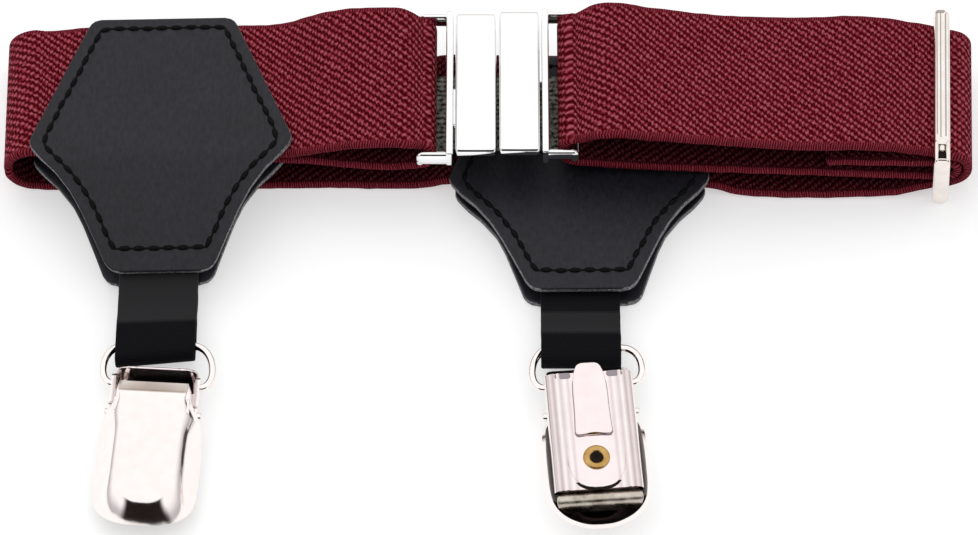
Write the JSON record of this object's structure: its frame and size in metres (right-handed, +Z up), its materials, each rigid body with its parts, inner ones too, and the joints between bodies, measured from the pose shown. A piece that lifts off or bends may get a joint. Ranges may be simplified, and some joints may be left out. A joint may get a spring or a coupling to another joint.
{
  "type": "sock suspender",
  "caption": "Elastic strap in a flattened loop with a hook clasp and a slide, and leather patches that carry ribbons, wire rings and domed lever clips.",
  "frame": {"origin": "middle of the footprint on the surface that the suspender lies on", "axes": "+X along the loop from its left fold to the slide's fold, +Y across the strap away from the clips, +Z up"},
  "size_m": [0.1566, 0.0899, 0.017],
  "materials": {
    "elastic": "woven elastic, burgundy, matt",
    "leather": "smooth black leather, satin",
    "ribbon": "woven black ribbon, slight sheen",
    "nickel": "polished nickel plate",
    "chrome": "bright chrome plate",
    "brass": "rolled brass, satin"
  },
  "bodies": {
    "loop": {"elastic_strap": "elastic", "patch_a_front": "leather", "patch_a_back": "leather", "patch_b_front": "leather", "patch_b_back": "leather", "ribbon_a": "ribbon", "ribbon_b": "ribbon", "ring_a": "nickel", "ring_b": "nickel", "clasp_left": "chrome", "clasp_right": "chrome", "slide": "nickel"},
    "clip_a": {"clip_a_body": "nickel", "clip_a_jaw": "nickel", "clip_a_eyelet": "brass"},
    "clip_a_lever": {"clip_a_cover": "nickel"},
    "clip_b": {"clip_b_body": "nickel", "clip_b_jaw": "nickel", "clip_b_eyelet": "brass"},
    "clip_b_lever": {"clip_b_cover": "nickel"}
  },
  "joints": [
    {"name": "clip_a_swing", "type": "hinge", "parent": "loop", "child": "clip_a", "pos_m": [-0.0525, -0.0204, 0.0034], "axis": [0.9982, -0.0593, 0], "range_deg": [-90, 90]},
    {"name": "clip_a_open", "type": "hinge", "parent": "clip_a", "child": "clip_a_lever", "pos_m": [-0.05281, -0.02559, 0.0034], "axis": [-0.9982, 0.0593, 0], "range_deg": [0, 45]},
    {"name": "clip_b_swing", "type": "hinge", "parent": "loop", "child": "clip_b", "pos_m": [0.015, -0.0208, 0.0041], "axis": [0.9973, 0.0732, 0], "range_deg": [-90, 90]},
    {"name": "clip_b_open", "type": "hinge", "parent": "clip_b", "child": "clip_b_lever", "pos_m": [0.01538, -0.02599, 0.0041], "axis": [0.9973, 0.0732, 0], "range_deg": [0, 45]}
  ]
}
